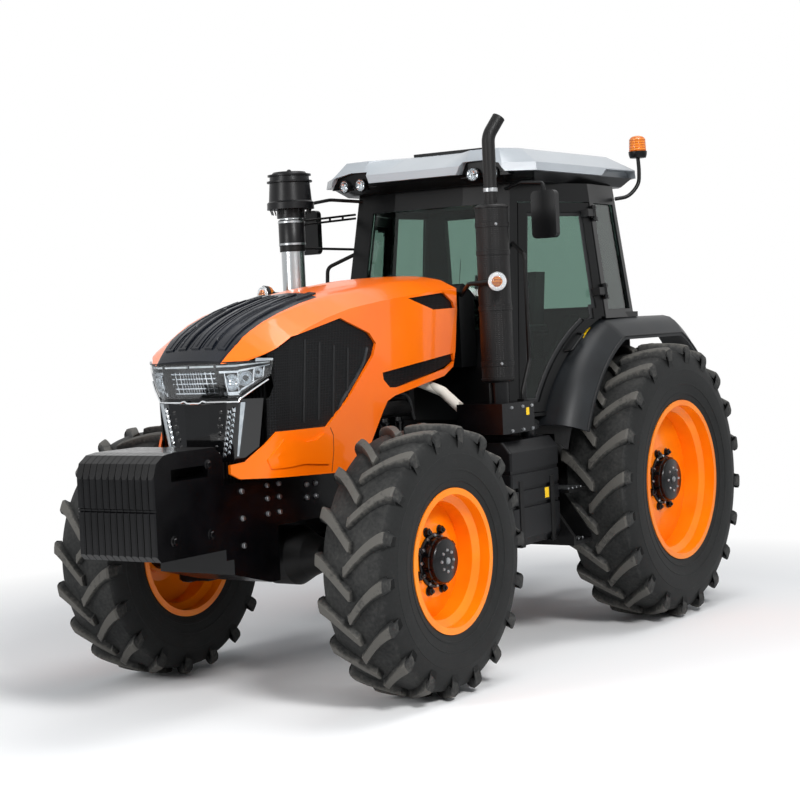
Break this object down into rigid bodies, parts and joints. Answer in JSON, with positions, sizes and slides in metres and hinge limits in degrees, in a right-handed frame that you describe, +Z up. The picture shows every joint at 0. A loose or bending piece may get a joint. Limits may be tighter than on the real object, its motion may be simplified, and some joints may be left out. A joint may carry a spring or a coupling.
{
  "type": "farm tractor",
  "caption": "Farm tractor with a sloping bonnet, glazed cab, lugged tyres, front weights, upright exhaust, air pre-cleaner and rear lift linkage.",
  "frame": {"origin": "on the ground under the middle of the whole length and width", "axes": "+X forward, +Y to the tractor's left, +Z up"},
  "size_m": [5.198, 2.297, 3.1392],
  "materials": {
    "orange_paint": "gloss",
    "wheel_paint": "satin",
    "black_paint": "gloss",
    "frame_paint": "satin",
    "weight_paint": "gloss",
    "castings": "satin",
    "tyre_rubber": "matte",
    "cab_paint": "satin",
    "charcoal_plastic": "satin",
    "black_plastic": "matte",
    "insert_plastic": "satin",
    "mesh_black": "matte",
    "roof_grey": "gloss",
    "tinted_glass": "gloss",
    "lamp_glass": "gloss",
    "amber_lens": "gloss",
    "seat_fabric": "matte",
    "stack_metal": "gloss",
    "muffler_paint": "matte",
    "heat_wrap": "matte",
    "bare_steel": "satin"
  },
  "bodies": {
    "chassis": {"battery_box": "black_paint", "beacon": "amber_lens", "cab_frame": "cab_paint", "cab_glass": "tinted_glass", "console": "black_plastic", "cowl": "black_plastic", "drawbar": "castings", "engine_block": "castings", "exhaust_bracket": "black_paint", "exhaust_pipe": "heat_wrap", "fenders": "charcoal_plastic", "front_axle": "castings", "front_frame": "frame_paint", "front_weights": "weight_paint", "fuel_tank": "black_plastic", "handrails": "black_paint", "intake_stack": "stack_metal", "lamps": "lamp_glass", "mirrors": "black_plastic", "muffler": "muffler_paint", "precleaner": "black_plastic", "radiator": "black_paint", "rear_axle": "castings", "roof_brim": "black_plastic", "roof_shell": "roof_grey", "seat": "seat_fabric", "steps": "black_paint", "transmission": "castings"},
    "bonnet": {"bonnet": "orange_paint", "bonnet_insert": "insert_plastic", "bonnet_mesh": "mesh_black", "headlamps": "lamp_glass", "grille": "black_plastic"},
    "door_left": {"door_left": "cab_paint", "door_left_glass": "tinted_glass"},
    "door_right": {"door_right": "cab_paint", "door_right_glass": "tinted_glass"},
    "rear_window": {"rear_window": "tinted_glass"},
    "knuckle_left": {"knuckle_left": "castings"},
    "knuckle_right": {"knuckle_right": "castings"},
    "front_wheel_left": {"front_rim_left": "wheel_paint", "front_tyre_left": "tyre_rubber"},
    "front_wheel_right": {"front_rim_right": "wheel_paint", "front_tyre_right": "tyre_rubber"},
    "rear_wheel_left": {"rear_rim_left": "wheel_paint", "rear_tyre_left": "tyre_rubber"},
    "rear_wheel_right": {"rear_rim_right": "wheel_paint", "rear_tyre_right": "tyre_rubber"},
    "lower_links": {"lower_links": "castings"},
    "lift_arms": {"lift_arms": "castings"},
    "lift_rods": {"lift_rods": "bare_steel"}
  },
  "joints": [
    {"name": "steer_left", "type": "hinge", "parent": "chassis", "child": "knuckle_left", "pos_m": [1.243, 0.72, 0.7175], "axis": [0, 0, 1], "range_deg": [-35, 35]},
    {"name": "steer_right", "type": "hinge", "parent": "chassis", "child": "knuckle_right", "pos_m": [1.243, -0.72, 0.7175], "axis": [0, 0, 1], "range_deg": [-35, 35]},
    {"name": "front_wheel_left_spin", "type": "hinge", "parent": "knuckle_left", "child": "front_wheel_left", "pos_m": [1.243, 0.9, 0.7175], "axis": [0, 1, 0], "continuous": true},
    {"name": "front_wheel_right_spin", "type": "hinge", "parent": "knuckle_right", "child": "front_wheel_right", "pos_m": [1.243, -0.9, 0.7175], "axis": [0, 1, 0], "continuous": true},
    {"name": "rear_wheel_left_spin", "type": "hinge", "parent": "chassis", "child": "rear_wheel_left", "pos_m": [-1.457, 0.915, 0.8775], "axis": [0, 1, 0], "continuous": true},
    {"name": "rear_wheel_right_spin", "type": "hinge", "parent": "chassis", "child": "rear_wheel_right", "pos_m": [-1.457, -0.915, 0.8775], "axis": [0, 1, 0], "continuous": true},
    {"name": "bonnet_lift", "type": "hinge", "parent": "chassis", "child": "bonnet", "pos_m": [0.073, 0, 2.168], "axis": [0, -1, 0], "range_deg": [0, 50]},
    {"name": "door_left_swing", "type": "hinge", "parent": "chassis", "child": "door_left", "pos_m": [-1.007, 0.82271, 2.345], "axis": [0, -0.1167, 0.9932], "range_deg": [0, 65]},
    {"name": "door_right_swing", "type": "hinge", "parent": "chassis", "child": "door_right", "pos_m": [-1.007, -0.82271, 2.345], "axis": [0, -0.1167, -0.9932], "range_deg": [0, 65]},
    {"name": "rear_window_swing", "type": "hinge", "parent": "chassis", "child": "rear_window", "pos_m": [-1.452, 0, 2.674], "axis": [0, 1, 0], "range_deg": [0, 45]},
    {"name": "lower_links_lift", "type": "hinge", "parent": "chassis", "child": "lower_links", "pos_m": [-1.757, 0, 0.62], "axis": [0, 1, 0], "range_deg": [-20, 25]},
    {"name": "lift_arms_turn", "type": "hinge", "parent": "chassis", "child": "lift_arms", "pos_m": [-1.757, 0, 1.23], "axis": [0, 1, 0], "range_deg": [-20, 25]},
    {"name": "lift_rods_turn", "type": "hinge", "parent": "lower_links", "child": "lift_rods", "pos_m": [-2.227, 0, 0.62], "axis": [0, 1, 0], "range_deg": [-25, 20]}
  ],
  "couplings": [
    {"joint": "steer_right", "follows": "steer_left", "ratio": 1},
    {"joint": "lift_arms_turn", "follows": "lower_links_lift", "ratio": 1},
    {"joint": "lift_rods_turn", "follows": "lower_links_lift", "ratio": -1}
  ]
}
